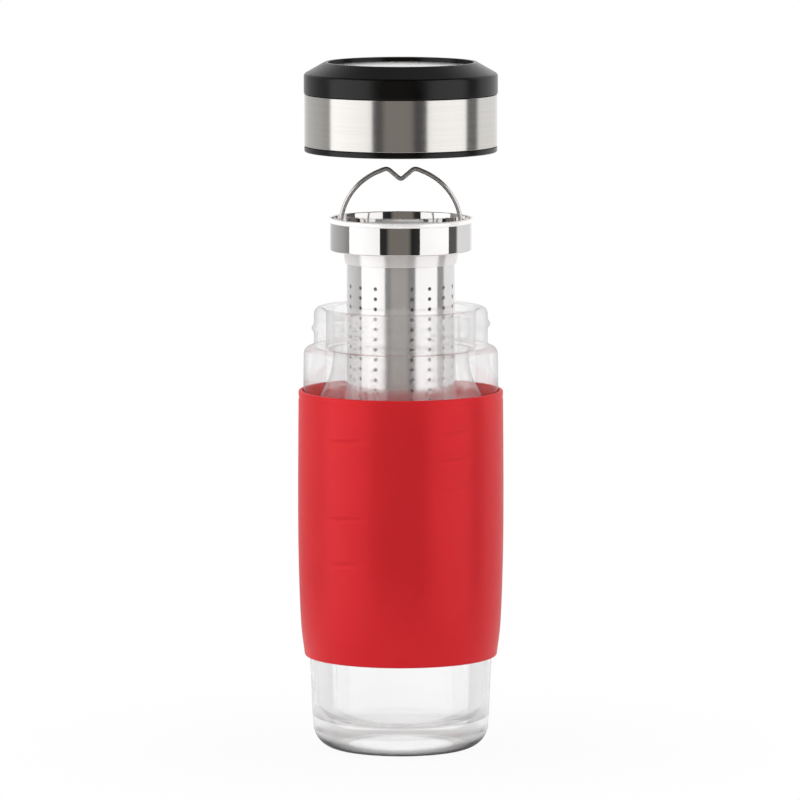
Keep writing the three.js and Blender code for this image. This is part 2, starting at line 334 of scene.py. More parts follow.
def smooth_step(x):
    """Smooth rise from 0 to 1."""
    x = min(1.0, max(0.0, x))
    return x * x * (3 - 2 * x)


def thread_height(z, angle, start_z, height):
    """Height of the screw ridge above its wall. It starts at the back and climbs to the left."""
    turn = ((angle - math.pi / 2) / (2 * math.pi)) % 1
    found = 0.0
    for done in (turn, turn + 1):
        off = abs(z - start_z - THREAD_PITCH * done) / (THREAD_PITCH / 2)
        ends = smooth_step(done / THREAD_FADE_TURNS) * smooth_step((THREAD_TURNS - done) / THREAD_FADE_TURNS)
        if off < 1 and ends > 0:
            found = max(found, height * ends * math.cos(off * math.pi / 2) ** THREAD_POWER)
    return found


class Shell:
    """Vertices and faces of one piece, with vertices at the same place shared."""

    def __init__(self, lift=0.0):
        self.lift = lift
        self.points = []
        self.faces = []
        self.known = {}

    def point(self, x, y, z):
        key = (round(x, 4), round(y, 4), round(z, 4))
        if key not in self.known:
            self.known[key] = len(self.points)
            self.points.append((x, y, z + self.lift))
        return self.known[key]

    def polar(self, radius, angle, z):
        return self.point(radius * math.cos(angle), radius * math.sin(angle), z)

    def face(self, *corners):
        kept = [c for i, c in enumerate(corners) if c != corners[i - 1]]
        if len(kept) > 2:
            self.faces.append(kept)

    def turn(self, profile, shift=None, segments=SEGMENTS):
        """Turns a profile about Z. Its solid lies on the left of the way that the profile runs."""
        rings = []
        for r, z in profile:
            angles = [2 * math.pi * i / segments for i in range(segments)]
            radii = [r if shift is None else shift(r, z, a) for a in angles]
            rings.append([self.polar(radius, a, z) for radius, a in zip(radii, angles)])
        for low, high in zip(rings, rings[1:]):
            for i in range(segments):
                k = (i + 1) % segments
                self.face(low[i], low[k], high[k], high[i])

    def turn_ring(self, outline, shift=None, segments=SEGMENTS):
        self.turn([*outline, outline[0]], shift, segments)

    def pierced_wall(self, outer_r, inner_r, low, high, holes, hole_z, hole_r, window, segments):
        """A band of wall, without its upper and lower edges, with a round hole in some windows."""
        step = 2 * math.pi / segments
        pierced = {(first + i) % segments for first in holes for i in range(window)}
        for i in set(range(segments)) - pierced:
            spots = ((i, low), (i + 1, low), (i + 1, high), (i, high))
            for radius, flip in ((outer_r, False), (inner_r, True)):
                corners = [self.polar(radius, step * a, z) for a, z in spots]
                self.face(*(corners[::-1] if flip else corners))
        sides = 2 * window + 2
        for first in holes:
            middle = step * (first + window / 2)
            edge = [(step * (first + i), low) for i in range(window + 1)]
            edge += [(step * (first + window - i), high) for i in range(window + 1)]
            ring = []
            for i in range(sides):
                around = math.pi * (2 * i + 1) / sides + math.pi
                ring.append((hole_r * math.cos(around), hole_z + hole_r * math.sin(around)))
            for i in range(sides):
                k = (i + 1) % sides
                cut = []
                for radius in (outer_r, inner_r):
                    at = [self.polar(radius, a, z) for a, z in (edge[i], edge[k])]
                    at += [self.polar(radius, middle + x / outer_r, z) for x, z in (ring[k], ring[i])]
                    self.face(*(at if radius == outer_r else at[::-1]))
                    cut.append(at[2:])
                (out_k, out_i), (in_k, in_i) = cut
                self.face(out_i, out_k, in_k, in_i)

    def sweep(self, route, radius, sides):
        """A round bar along a route in the plane of X and Z, with rounded ends."""
        rings = []
        last = len(route) - 1
        end = radius * WIRE_END_LONG
        narrow = radius * WIRE_END_WIDE
        for i, (x, z) in enumerate(route):
            (x0, z0), (x1, z1) = route[max(i - 1, 0)], route[min(i + 1, last)]
            length = math.hypot(x1 - x0, z1 - z0)
            ahead_x, ahead_z = (x1 - x0) / length, (z1 - z0) / length
            stations = [(0.0, radius)]
            if i == 0:
                stations = [(-end, 0.0), (-end, narrow), (0.0, radius)]
            if i == last:
                stations = [(0.0, radius), (end, narrow), (end, 0.0)]
            for along, r in stations:
                ring = []
                for k in range(sides):
                    a = 2 * math.pi * k / sides
                    across = r * math.cos(a)
                    ring.append(self.point(
                        x + along * ahead_x - across * ahead_z,
                        r * math.sin(a),
                        z + along * ahead_z + across * ahead_x))
                rings.append(ring)
        for low, high in zip(rings, rings[1:]):
            for k in range(sides):
                n = (k + 1) % sides
                self.face(low[k], high[k], high[n], low[n])


def true_walls(mesh, radii):
    """Gives upright round walls their true normals, so that a hole leaves no dent in what they mirror."""
    normals = [corner.vector.copy() for corner in mesh.corner_normals]
    for polygon in mesh.polygons:
        corners = [mesh.vertices[v].co for v in polygon.vertices]
        reach = [math.hypot(corner.x, corner.y) / MM for corner in corners]
        if any(all(abs(found - r) < WALL_TOLERANCE for found in reach) for r in radii):
            outward = math.copysign(1, polygon.normal.dot(Vector((*polygon.center.xy, 0))))
            for loop, corner in zip(polygon.loop_indices, corners):
                normals[loop] = outward * Vector((*corner.xy, 0)).normalized()
    mesh.normals_split_custom_set(normals)


def mesh_object(name, shell, walls=()):
    mesh = bpy.data.meshes.new(name)
    mesh.from_pydata([tuple(MM * c for c in p) for p in shell.points], [], shell.faces)
    mesh.validate()
    mesh.shade_smooth()
    mesh.set_sharp_from_angle(angle=math.radians(SHARP_DEG))
    made = bpy.data.objects.new(name, mesh)
    bpy.context.scene.collection.objects.link(made)
    if walls:
        true_walls(mesh, walls)
    else:
        normals = made.modifiers.new("even_normals", "WEIGHTED_NORMAL")
        normals.keep_sharp = True
    return made


def flare(from_r, from_z, to_r, to_z, steps):
    """Points of a smooth widening between two heights, straight up and down at both ends."""
    points = []
    for i in range(steps + 1):
        t = i / steps
        down = 1.5 * t * (1 - t) + t ** 3
        points.append((from_r + (to_r - from_r) * smooth_step(t), from_z + (to_z - from_z) * down))
    return points


def make_glass():
    corner_r, corner_z = BODY_STATIONS[0]
    shoulder_r, shoulder_z = BODY_STATIONS[-1]
    shoulder_top = shoulder_z + SHOULDER_ROUND
    rim_round = (NECK_R - BORE_R) / 2
    floor_z = FLOOR_Z + FLOOR_CORNER
    floor_r = body_radius(floor_z) - WALL - FLOOR_CORNER
    punt = PUNT_DEPTH / 2

    def thread(r, z, angle):
        return r + (thread_height(z, angle, GLASS_THREAD_Z, GLASS_THREAD_H) if r == NECK_R else 0)

    shell = Shell()
    shell.turn([
        (0, PUNT_DEPTH),
        (FOOT_INNER_R / 2, PUNT_DEPTH),
        *arc(FOOT_INNER_R - punt, punt, punt, 90, 0, 4),
        *arc(FOOT_INNER_R + punt, punt, punt, 180, 270, 4),
        *arc(corner_r - FOOT_CORNER, FOOT_CORNER, FOOT_CORNER, -90, 0, 12),
        *body_stretch(corner_z + 1, shoulder_z, 0, OUTSIDE_ROWS),
        *arc(shoulder_r - SHOULDER_ROUND, shoulder_z, SHOULDER_ROUND, 8, 90, 9),
        *arc(NECK_R + NECK_FILLET, shoulder_top + NECK_FILLET, NECK_FILLET, 270, 185, 6),
        *rows_between(NECK_R, shoulder_top + NECK_FILLET, RIM_Z - rim_round, THREAD_ROW),
        *arc(NECK_R - rim_round, RIM_Z - rim_round, rim_round, 0, 180, 16),
        *rows_between(BORE_R, RIM_Z - rim_round, LEDGE_Z + LEDGE_ROUND, WALL_ROW),
        *arc(BORE_R - LEDGE_ROUND, LEDGE_Z + LEDGE_ROUND, LEDGE_ROUND, 0, -90, 5),
        *arc(THROAT_R + LEDGE_ROUND, LEDGE_Z - LEDGE_ROUND, LEDGE_ROUND, 90, 180, 6),
        *flare(THROAT_R, FLARE_TOP, body_radius(FLARE_LOW) - WALL, FLARE_LOW, FLARE_ROWS),
        *body_stretch(FLARE_LOW - 1, floor_z + 1, -WALL, INSIDE_ROWS),
        *arc(floor_r, floor_z, FLOOR_CORNER, 0, -90, 12),
        *[(floor_r * t, FLOOR_Z - FLOOR_DISH * (1 - t * t)) for t in FLOOR_SHARES],
    ], thread)
    return shell


def ripple_depth(z, angle):
    """Depth of the line under the sleeve's top edge, and of the ripples, which repeat round the sleeve."""
    part = 360 / RIPPLE_REPEATS
    turn = (math.degrees(angle) + 90 + part / 2) % part - part / 2
    height = SLEEVE_HIGH - SLEEVE_LOW
    hem = (z - SLEEVE_HIGH + HEM_LINE_DOWN) / HEM_LINE_WIDTH
    hem_depth = HEM_LINE_DEPTH * math.cos(hem * math.pi / 2) ** 2 if abs(hem) < 1 else 0.0
    depth = 0.0
    for centre_deg, share, strength in RIPPLES:
        off = (turn - centre_deg) / RIPPLE_SPAN_DEG
        if abs(off) < 1:
            line_z = SLEEVE_LOW + share * height + RIPPLE_SWAY * math.sin(off * math.pi)
            across = (z - line_z) / RIPPLE_WIDTH
            if abs(across) < 1:
                depth += strength * (math.cos(off * math.pi / 2) * math.cos(across * math.pi / 2)) ** 2
    return hem_depth + RIPPLE_DEPTH * depth


def make_sleeve():
    inner = GAP
    outer = GAP + SLEEVE_T
    inner_edge = SLEEVE_HEM / 2
    top_r = body_radius(SLEEVE_HIGH)
    low_r = body_radius(SLEEVE_LOW)
    rows = math.ceil((SLEEVE_HIGH - SLEEVE_LOW) / SLEEVE_ROW)
    outside = body_stretch(SLEEVE_LOW + SLEEVE_HEM, SLEEVE_HIGH - SLEEVE_HEM, outer, rows)
    rippled = set(outside)

    def ripple(r, z, angle):
        return min(r, SLEEVE_R) - (ripple_depth(z, angle) if (r, z) in rippled else 0)

    shell = Shell()
    shell.turn_ring([
        *outside,
        *arc(top_r + outer - SLEEVE_HEM, SLEEVE_HIGH - SLEEVE_HEM, SLEEVE_HEM, 18, 90, 5),
        *arc(top_r + inner + inner_edge, SLEEVE_HIGH - inner_edge, inner_edge, 90, 160, 3),
        *body_stretch(SLEEVE_HIGH - SLEEVE_HEM, SLEEVE_LOW + SLEEVE_HEM, inner, SLEEVE_INSIDE_ROWS),
        *arc(low_r + inner + inner_edge, SLEEVE_LOW + inner_edge, inner_edge, 200, 270, 3),
        *arc(low_r + outer - SLEEVE_HEM, SLEEVE_LOW + SLEEVE_HEM, SLEEVE_HEM, 270, 342, 5),
    ], ripple)
    return shell


def make_collar():
    bore_r = COLLAR_R - COLLAR_T
    flange_bore_r = TUBE_R + GAP
    lip_low = COLLAR_H - LIP_H
    half_window = HOLE_WINDOW // 2
    hole_low = 2 * PIVOT_Z - MOUTH_LOW
    hole_high = MOUTH_LOW
    shell = Shell(SEAT_Z)
    shell.turn([
        (bore_r, hole_low),
        *arc(bore_r - COLLAR_EDGE, COLLAR_FLOOR_T + COLLAR_EDGE, COLLAR_EDGE, 0, -90, 4),
        (flange_bore_r, COLLAR_FLOOR_T),
        (flange_bore_r, -FLANGE_H),
        *arc(FLANGE_LOW_R - FLANGE_EDGE, -FLANGE_H + FLANGE_EDGE, FLANGE_EDGE, -90, 0, 3),
        (FLANGE_TOP_R, -COLLAR_EDGE),
        *arc(FLANGE_TOP_R + COLLAR_EDGE, -COLLAR_EDGE, COLLAR_EDGE, 170, 90, 4),
        *arc(COLLAR_R - COLLAR_EDGE, COLLAR_EDGE, COLLAR_EDGE, -90, 0, 5),
        (COLLAR_R, hole_low),
    ])
    shell.pierced_wall(
        COLLAR_R, bore_r, hole_low, hole_high,
        (-half_window, SEGMENTS // 2 - half_window), PIVOT_Z, PIVOT_HOLE_R, HOLE_WINDOW, SEGMENTS)
    shell.turn([
        (COLLAR_R, hole_high),
        (COLLAR_R, lip_low),
        *arc(LIP_R - LIP_ROUND, lip_low + LIP_ROUND, LIP_ROUND, -75, 0, 6),
        *arc(LIP_R - LIP_ROUND, COLLAR_H - LIP_ROUND, LIP_ROUND, 0, 90, 7),
        *arc(LIP_INNER_R + LIP_INNER_ROUND, COLLAR_H - LIP_INNER_ROUND, LIP_INNER_ROUND, 90, 175, 5),
        (bore_r, hole_high),
    ])
    return shell


def make_tube():
    inner_r = TUBE_R - TUBE_T
    segments = HOLE_COLUMNS * HOLE_WINDOW
    first = round(HOLE_TURN_DEG / 360 * segments) - HOLE_WINDOW // 2
    columns = [first + HOLE_WINDOW * column for column in range(HOLE_COLUMNS) if column != SEAM_COLUMN]
    top_row = FIRST_ROW + HOLE_PITCH / 2
    low_row = top_row - HOLE_ROWS * HOLE_PITCH
    edge = TUBE_T / 4
    shell = Shell(SEAT_Z)
    shell.turn([
        (TUBE_R, top_row),
        (TUBE_R, TUBE_TOP - edge),
        (TUBE_R - edge, TUBE_TOP),
        (inner_r + edge, TUBE_TOP),
        (inner_r, TUBE_TOP - edge),
        (inner_r, top_row),
    ], segments=segments)
    for row in range(HOLE_ROWS):
        middle = FIRST_ROW - row * HOLE_PITCH
        shell.pierced_wall(
            TUBE_R, inner_r, middle - HOLE_PITCH / 2, middle + HOLE_PITCH / 2,
            columns, middle, HOLE_R, HOLE_WINDOW, segments)
    shell.turn([
        (inner_r, low_row),
        (inner_r, TUBE_LOW + edge),
        (inner_r + edge, TUBE_LOW),
        (TUBE_R - edge, TUBE_LOW),
        (TUBE_R, TUBE_LOW + edge),
        (TUBE_R, low_row),
    ], segments=segments)
    return shell


def make_base():
    outer_r = TUBE_R - TUBE_T - GAP
    floor_r = outer_r - BASE_T
    floor_top = TUBE_LOW + BASE_T
    centres = [Vector((r * math.cos(2 * math.pi * i / n), r * math.sin(2 * math.pi * i / n)))
               for n, r in BASE_RINGS for i in range(n)]
    outline = [Vector(p) for p in arc(0, 0, floor_r, 0, 360, BASE_SIDES)[:-1]]
    holes = [[Vector(p) for p in arc(*c, HOLE_R, 0, 360, BASE_HOLE_SIDES)[:-1]] for c in centres]
    flat, _, triangles, *_ = delaunay_2d_cdt(
        [*outline, *(p for hole in holes for p in hole)],
        [(i, (i + 1) % BASE_SIDES) for i in range(BASE_SIDES)], [], 0, MERGE_DISTANCE)
    shell = Shell(SEAT_Z)
    for corners in triangles:
        middle = sum((flat[c] for c in corners), Vector((0, 0))) / len(corners)
        if all((middle - c).length > HOLE_KEEP_OUT for c in centres):
            shell.face(*(shell.point(*flat[c], floor_top) for c in corners))
            shell.face(*(shell.point(*flat[c], TUBE_LOW) for c in reversed(corners)))
    for hole in holes:
        for a, b in zip(hole, hole[1:] + hole[:1]):
            shell.face(*(shell.point(*p, z) for p, z in (
                (a, floor_top), (a, TUBE_LOW), (b, TUBE_LOW), (b, floor_top))))
    shell.turn([
        (floor_r, TUBE_LOW),
        *arc(outer_r - BASE_T, floor_top, BASE_T, -75, 0, 5),
        (outer_r, TUBE_LOW + BASE_SKIRT),
        (floor_r, TUBE_LOW + BASE_SKIRT),
        (floor_r, floor_top),
    ], segments=BASE_SIDES)
    return shell


def make_bail():
    bend = BAIL_BEND_R
    peak_deg = math.degrees(math.acos(BAIL_PEAK_X / BAIL_ARC_R))
    right_side = [
        (PIN_END_X - WIRE_R * WIRE_END_LONG, PIVOT_Z),
        (BAIL_ARC_R + 2 * bend, PIVOT_Z),
        *arc(BAIL_ARC_R + bend, PIVOT_Z + bend, bend, -90, -180, 6),
        *arc(0, BAIL_ARC_Z, BAIL_ARC_R, 0, peak_deg - BAIL_PEAK_ROUND_DEG, 12),
        (BAIL_PEAK_X, BAIL_PEAK_Z),
        (BAIL_PEAK_X / 2, (BAIL_PEAK_Z + BAIL_NOTCH_Z) / 2),
    ]
    left_side = [(-x, z) for x, z in reversed(right_side)]
    shell = Shell(SEAT_Z)
    shell.sweep(spline([*right_side, (0, BAIL_NOTCH_Z), *left_side], WIRE_STEPS), WIRE_R, WIRE_SIDES)
    return shell


def make_liner():
    web_top = WEB_LOW + WEB_T
    groove_top = SEAL_LOW + GAP
    small = LID_EDGE / 2

    def thread(r, z, angle):
        threaded = r == LINER_INNER_R and z < WEB_LOW
        return r - (thread_height(z, angle, LID_THREAD_UP, LID_THREAD_H) if threaded else 0)

    shell = Shell(LID_Z)
    shell.turn([
        (0, POCKET_TOP),
        *arc(POCKET_R - LID_EDGE, POCKET_TOP - LID_EDGE, LID_EDGE, 90, 0, 5),
        *arc(POCKET_R + small, WEB_LOW + small, small, 180, 270, 3),
        *arc(SEAL_KEEPER_R - LINER_EDGE, WEB_LOW - LINER_EDGE, LINER_EDGE, 90, 0, 2),
        *arc(SEAL_KEEPER_R + small, groove_top + small, small, 180, 270, 3),
        *arc(SEAL_INNER_R - GAP - small, groove_top + small, small, 270, 360, 3),
        (SEAL_INNER_R - GAP, WEB_LOW),
        (LINER_INNER_R, WEB_LOW),
        *rows_between(LINER_INNER_R, WEB_LOW, LID_EDGE, THREAD_ROW),
        *arc(LINER_INNER_R + LID_EDGE, LID_EDGE, LID_EDGE, 180, 270, 4),
        *arc(LID_R - LID_EDGE, LID_EDGE, LID_EDGE, -90, 0, 6),
        *arc(LID_R - LINER_EDGE, LOW_RIM_H - LINER_EDGE, LINER_EDGE, 0, 90, 3),
        (LINER_R, LOW_RIM_H),
        (LINER_R, LINER_TOP),
        (LINER_INNER_R, LINER_TOP),
        (LINER_INNER_R, web_top),
        (POCKET_R + POCKET_WALL, web_top),
        *arc(POCKET_R + POCKET_WALL - LID_EDGE, POCKET_TOP + POCKET_WALL - LID_EDGE, LID_EDGE, 0, 90, 5),
        (0, POCKET_TOP + POCKET_WALL),
    ], thread)
    return shell


def make_seal():
    top = WEB_LOW - GAP
    edge = SEAL_EDGE
    small = SEAL_EDGE / 2
    middle = (SEAL_INNER_R + SEAL_OUTER_R) / 2
    shell = Shell(LID_Z)
    shell.turn_ring([
        *arc(SEAL_INNER_R + edge, SEAL_LOW + edge, edge, 180, 270, 4),
        *arc(middle - 2 * small, SEAL_LOW + small, small, -90, 0, 3),
        *arc(middle + 2 * small, SEAL_LOW + small, small, 180, 270, 3),
        *arc(SEAL_OUTER_R - edge, SEAL_LOW + edge, edge, -90, 0, 4),
        *arc(SEAL_OUTER_R - small, top - small, small, 0, 90, 3),
        *arc(SEAL_INNER_R + small, top - small, small, 90, 180, 3),
    ])
    return shell


def make_band():
    inner_r = LID_R - BAND_T
    edge = BAND_EDGE
    shell = Shell(LID_Z)
    shell.turn_ring([
        *arc(inner_r + edge, BAND_LOW + edge, edge, 180, 270, 3),
        *arc(LID_R - edge, BAND_LOW + edge, edge, -90, 0, 4),
        *rows_between(LID_R, BAND_LOW + edge, BAND_TOP - edge, WALL_ROW),
        *arc(LID_R - edge, BAND_TOP - edge, edge, 0, 90, 4),
        *arc(inner_r + edge, BAND_TOP - edge, edge, 90, 180, 3),
    ])
    return shell


def make_cap():
    spigot_r = LINER_INNER_R - GAP
    edge = CAP_EDGE
    shell = Shell(LID_Z)
    shell.turn([
        (0, CAP_PLATE_LOW),
        (CAP_PLATE_R, CAP_PLATE_LOW),
        (spigot_r - SPIGOT_T, CAP_WALL_TOP),
        (spigot_r - SPIGOT_T, SPIGOT_LOW),
        *arc(spigot_r - edge, SPIGOT_LOW + edge, edge, -90, 0, 3),
        (spigot_r, CAP_LOW),
        *arc(CAP_R - edge, CAP_LOW + edge, edge, -90, 0, 4),
        *arc(CAP_R - CAP_EDGE_ROUND, CAP_WALL_TOP, CAP_EDGE_ROUND, 0, BEZEL_DEG, 10),
        *arc(BEZEL_R, LID_H - edge, edge, BEZEL_DEG, 90, 3),
        *arc(RECESS_R + edge, LID_H - edge, edge, 90, 180, 4),
        (RECESS_R, RECESS_FLOOR),
        (0, RECESS_FLOOR),
    ])
    return shell


def make_disc():
    low = RECESS_FLOOR + GAP
    edge = DISC_EDGE
    shell = Shell(LID_Z)
    shell.turn([
        (0, low),
        (DISC_R, low),
        *arc(DISC_R - edge, low + DISC_T - edge, edge, 0, 90, 4),
        (DISC_R / 2, low + DISC_T),
        (0, low + DISC_T),
    ])
    return shell


def srgb(red, green, blue):
    """A colour as it looks on screen, turned into the light values that Blender works in."""
    channels = [c / 255 for c in (red, green, blue)]
    return (*[c / 12.92 if c <= 0.04045 else ((c + 0.055) / 1.055) ** 2.4 for c in channels], 1)


def grey(tone):
    """A grey as it looks on screen."""
    return srgb(tone, tone, tone)


def add(tree, kind, inputs=None, **settings):
    """Adds a node. An input is a value, or another node's output."""
    made = tree.nodes.new(kind)
    for name, value in settings.items():
        setattr(made, name, value)
    for socket, value in (inputs or {}).items():
        if isinstance(value, bpy.types.NodeSocket):
            tree.links.new(value, made.inputs[socket])
        else:
            made.inputs[socket].default_value = value
    return made


def surface(name, **values):
    """A new material with these values on its shader's own sockets."""
    material = bpy.data.materials.new(name)
    material.use_nodes = True
    shader = material.node_tree.nodes["Principled BSDF"]
    for socket, value in values.items():
        shader.inputs[socket.replace("_", " ")].default_value = value
    return material, material.node_tree, shader


def noise(tree, scale, stretch=(1, 1, 1), detail=3):
    """Noise over the piece's own coordinates, in cells per metre."""
    place = add(tree, "ShaderNodeTexCoord")
    mapped = add(tree, "ShaderNodeMapping", {"Vector": place.outputs["Object"], "Scale": stretch})
    made = add(tree, "ShaderNodeTexNoise", {
        "Vector": mapped.outputs["Vector"], "Scale": scale, "Detail": detail})
    return made.outputs[0]


def colours(tree, value, *stops):
    """Colour ramp from pairs of position and colour."""
    ramp = add(tree, "ShaderNodeValToRGB", {"Fac": value})
    elements = ramp.color_ramp.elements
    while len(elements) < len(stops):
        elements.new(0.5)
    for element, (position, colour) in zip(elements, stops):
        element.position = position
        element.color = colour
    return ramp.outputs["Color"]


def map_range(tree, value, from_low, from_high, to_low, to_high):
    """A value moved from one range into another, and held at its ends."""
    made = add(tree, "ShaderNodeMapRange", {
        "Value": value, 1: from_low, 2: from_high, 3: to_low, 4: to_high})
    return made.outputs[0]


def calculate(tree, operation, first, second):
    made = add(tree, "ShaderNodeMath", {0: first, 1: second}, operation=operation)
    return made.outputs[0]


def mix_shaders(tree, share, first, second):
    return add(tree, "ShaderNodeMixShader", {0: share, 1: first.outputs[0], 2: second.outputs[0]})


def vary_colour(tree, shader, value, dark, bright, stops=(NOISE_LOW, NOISE_HIGH)):
    """Sets the base colour between a dark and a bright tone, by a noise value."""
    ramp = colours(tree, value, (stops[0], srgb(*dark)), (stops[1], srgb(*bright)))
    tree.links.new(ramp, shader.inputs["Base Color"])


def vary_roughness(tree, shader, value, low, high):
    """Sets the roughness between low and high, by a noise value."""
    rough = map_range(tree, value, NOISE_LOW, NOISE_HIGH, low, high)
    tree.links.new(rough, shader.inputs["Roughness"])


def relief(tree, shader, height, strength, depth_mm):
    bump = add(tree, "ShaderNodeBump", {"Height": height, "Strength": strength, "Distance": depth_mm * MM})
    tree.links.new(bump.outputs["Normal"], shader.inputs["Normal"])


def mix_in(tree, shader, other, share):
    """Mixes a share of another shader into the material's own."""
    mixed = mix_shaders(tree, share, shader, other)
    tree.links.new(mixed.outputs[0], tree.nodes["Material Output"].inputs["Surface"])


def glass_material():
    made, tree, shader = surface("clear_glass", Transmission_Weight=1.0, IOR=1.3)
    slow = noise(tree, 40, detail=1)
    clear = colours(tree, slow, (NOISE_LOW, grey(251)), (NOISE_HIGH, grey(253)))
    place = add(tree, "ShaderNodeTexCoord")
    axes = add(tree, "ShaderNodeSeparateXYZ", {0: place.outputs["Object"]})
    height = axes.outputs["Z"]
    flat = add(tree, "ShaderNodeVectorMath", {0: place.outputs["Object"], 1: (1, 1, 0)}, operation="MULTIPLY")
    reach = add(tree, "ShaderNodeVectorMath", {0: flat.outputs[0]}, operation="LENGTH")
    # Painted shade: low on the outside of the foot, the glass's colour turns dark grey where it slants from the
    # view, in place of the dark refraction at its heel
    outer = calculate(tree, "GREATER_THAN", reach.outputs["Value"], HEEL_SHADE_R * MM)
    low = map_range(tree, height, HEEL_SHADE_LOW * MM, HEEL_SHADE_HIGH * MM, 1.0, 0.0)
    heel_shade_share = calculate(tree, "MULTIPLY", outer, low)
    slant = add(tree, "ShaderNodeLayerWeight", {"Blend": 0.5})
    facing = slant.outputs["Facing"]
    painted_heel_shade = colours(tree, facing, (0.25, grey(252)), (0.45, grey(150)), (0.7, grey(50)), (1.0, grey(15)))
    tint = add(tree, "ShaderNodeMix", {0: heel_shade_share, 6: clear, 7: painted_heel_shade}, data_type="RGBA")
    tree.links.new(tint.outputs[2], shader.inputs["Base Color"])
    vary_roughness(tree, shader, noise(tree, 90), 0.0, 0.02)
    relief(tree, shader, slow, 0.15, 0.3)
    # Painted shade: the straight view through the glass turns grey where it slants from the view, drawing its
    # outline and thread as the darker refraction there would
    edge = colours(
        tree, facing,
        (0.0, grey(255)), (0.65, grey(254)), (0.85, srgb(236, 235, 235)), (1.0, srgb(120, 119, 119)))
    shade = add(tree, "ShaderNodeVectorMath", {0: tint.outputs[2], 1: edge}, operation="MULTIPLY")
    straight = add(tree, "ShaderNodeBsdfTransparent", {"Color": shade.outputs[0]})
    gloss = add(tree, "ShaderNodeBsdfAnisotropic", {"Color": grey(255), "Roughness": 0.02})
    mirror = colours(
        tree, facing,
        (0.0, (0.015, 0.015, 0.015, 1)), (0.7, (0.04, 0.04, 0.04, 1)), (1.0, (0.45, 0.45, 0.45, 1)))
    thin = mix_shaders(tree, mirror, straight, gloss)
    clearing = map_range(tree, height, SLEEVE_LOW * MM, SLEEVE_HIGH * MM, BASE_CLEAR, GLASS_CLEAR)
    mix_in(tree, shader, thin, clearing)
    return made


def silicone_material(name, share):
    made, tree, shader = surface(name, IOR=1.9, Specular_IOR_Level=1.0, Specular_Tint=srgb(255, 70, 76))
    vary_colour(tree, shader, noise(tree, 35), (209, 45, 51), (215, 48, 55))
    vary_roughness(tree, shader, noise(tree, 160), 0.28, 0.34)
    relief(tree, shader, noise(tree, 1800, detail=2), 0.12, 0.1)
    glow = add(tree, "ShaderNodeBsdfTranslucent", {"Color": srgb(245, 45, 50)})
    mix_in(tree, shader, glow, share)
    return made


def polished_material(name, tone, low, high, metallic=1.0):
    made, tree, shader = surface(name, Metallic=metallic)
    vary_colour(tree, shader, noise(tree, 60), tone, [c + 6 for c in tone])
    vary_roughness(tree, shader, noise(tree, 220), low, high)
    relief(tree, shader, noise(tree, 500, (1, 1, 6), 1), 0.04, 0.1)
    return made


def brushed_material(name, tone, stretch):
    made, tree, shader = surface(name, Metallic=0.95, Anisotropic=0.5, Anisotropic_Rotation=0.25)
    lines = noise(tree, 60, stretch, 4)
    vary_colour(tree, shader, lines, tone, [c + 9 for c in tone], (0.25, 0.75))
    vary_roughness(tree, shader, lines, 0.15, 0.2)
    around = add(tree, "ShaderNodeTangent", direction_type="RADIAL", axis="Z")
    tree.links.new(around.outputs["Tangent"], shader.inputs["Tangent"])
    relief(tree, shader, lines, 0.03, 0.05)
    return made


def plastic_material():
    made, tree, shader = surface("black_plastic", Specular_IOR_Level=0.36)
    cloud = noise(tree, 120)
    vary_colour(tree, shader, cloud, (3, 3, 2), (7, 6, 5))
    vary_roughness(tree, shader, cloud, 0.22, 0.3)
    relief(tree, shader, noise(tree, 2600, detail=1), 0.08, 0.06)
    return made


def seal_material():
    made, tree, shader = surface("white_silicone", Subsurface_Weight=0.3, Subsurface_Scale=0.002)
    cloud = noise(tree, 150)
    vary_colour(tree, shader, cloud, (222, 220, 214), (232, 230, 225))
    vary_roughness(tree, shader, cloud, 0.5, 0.6)
    relief(tree, shader, noise(tree, 1800, detail=1), 0.1, 0.08)
    return made


def add_piece(name, shell, node, body, material, walls=()):
    piece = mesh_object(name, shell, walls)
    piece.data.materials.append(material)
    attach(piece, body)
    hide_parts(node)
    return piece


def paint_sleeve_inside(piece):
    """Gives the sleeve's inner wall its second material."""
    for polygon in piece.data.polygons:
        if polygon.normal.dot(Vector((*polygon.center.xy, 0)).normalized()) < FACES_INWARD:
            polygon.material_index = 1


def paint_collar(piece):
    """Gives the collar's flange and lower inside its second material, and its lip the third."""
    for polygon in piece.data.polygons:
        x, y, z = polygon.center / MM
        radius, height = math.hypot(x, y), z - SEAT_Z
        if height < -COLLAR_EDGE / 2 or (radius < COLLAR_R - COLLAR_T / 2 and height < MOUTH_LOW):
            polygon.material_index = 1
        elif height > COLLAR_H - LIP_H and radius > LIP_MATT_R:
            polygon.material_index = 2


def floor_material():
    """Shaded round the foot, and whiter for the camera farther out. Through glass it is white."""
    material = bpy.data.materials.new("pale_floor")
    material.use_nodes = True
    tree = material.node_tree
    tree.nodes.clear()
    diffuse = add(tree, "ShaderNodeBsdfDiffuse", {"Color": grey(185)})
    white = add(tree, "ShaderNodeEmission", {"Strength": 1.0})
    ray = add(tree, "ShaderNodeLightPath")
    place = add(tree, "ShaderNodeTexCoord")
    length = add(tree, "ShaderNodeVectorMath", {0: place.outputs["Object"]}, operation="LENGTH")
    reach = length.outputs["Value"]
    outward = map_range(tree, reach, GROUND_SHADE_R * MM, GROUND_WHITE_R * MM, GROUND_SHADE, 1.0)
    seen = calculate(tree, "MULTIPLY", ray.outputs["Is Camera Ray"], outward)
    past_foot = map_range(tree, reach, FOOT_SHADE_R * MM, GROUND_SHADE_R * MM, 0.0, 1.0)
    reflected = calculate(tree, "MULTIPLY", ray.outputs["Is Glossy Ray"], past_foot)
    share = calculate(tree, "MAXIMUM", seen, reflected)
    mixed = mix_shaders(tree, share, diffuse, white)
    mixed = mix_shaders(tree, ray.outputs["Is Transmission Ray"], mixed, white)
    add(tree, "ShaderNodeOutputMaterial", {"Surface": mixed.outputs[0]})
    return material


